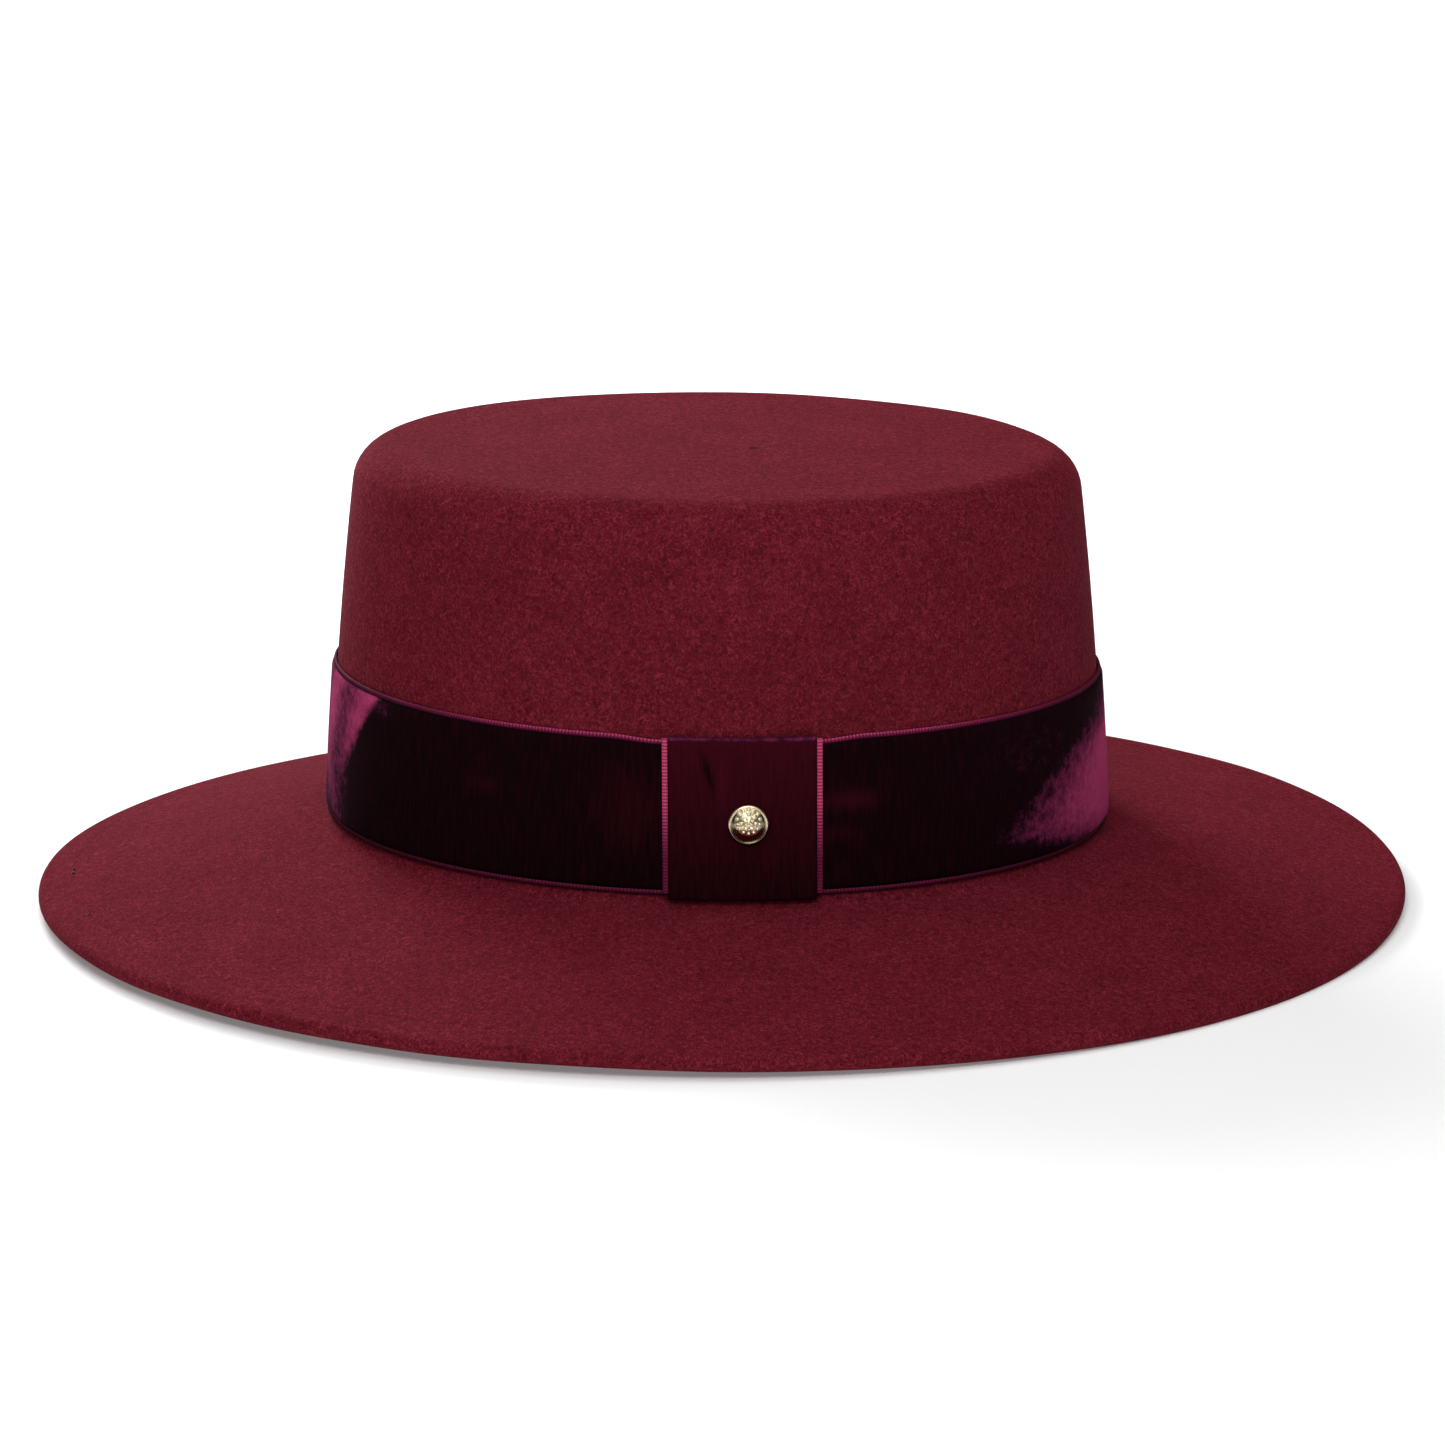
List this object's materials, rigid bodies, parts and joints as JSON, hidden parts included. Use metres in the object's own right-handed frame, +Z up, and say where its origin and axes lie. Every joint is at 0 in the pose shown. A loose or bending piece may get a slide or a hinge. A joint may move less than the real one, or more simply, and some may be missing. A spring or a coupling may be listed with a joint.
{
  "type": "boater hat",
  "caption": "Wide-brimmed boater hat of blocked burgundy wool felt with a flat oval crown, a plum velvet ribbon, a folded velvet tab and a domed gold-tone stud",
  "frame": {"origin": "On the surface that the hat rests on, below the middle of the brim's outline", "axes": "+X to the back of the hat, the wearer faces -X; -Y to the wearer's left, where the tab and stud are; +Z up through the crown"},
  "size_m": [0.3522, 0.3222, 0.1187],
  "materials": {
    "felt": "blocked wool felt with a short nap",
    "velvet": "cut-pile velvet with ribbed satin selvedges",
    "gold_metal": "polished gold tone"
  },
  "bodies": {
    "root": {"felt_body": "felt", "ribbon_band": "velvet", "ribbon_tab": "velvet", "stud": "gold_metal"}
  },
  "joints": []
}
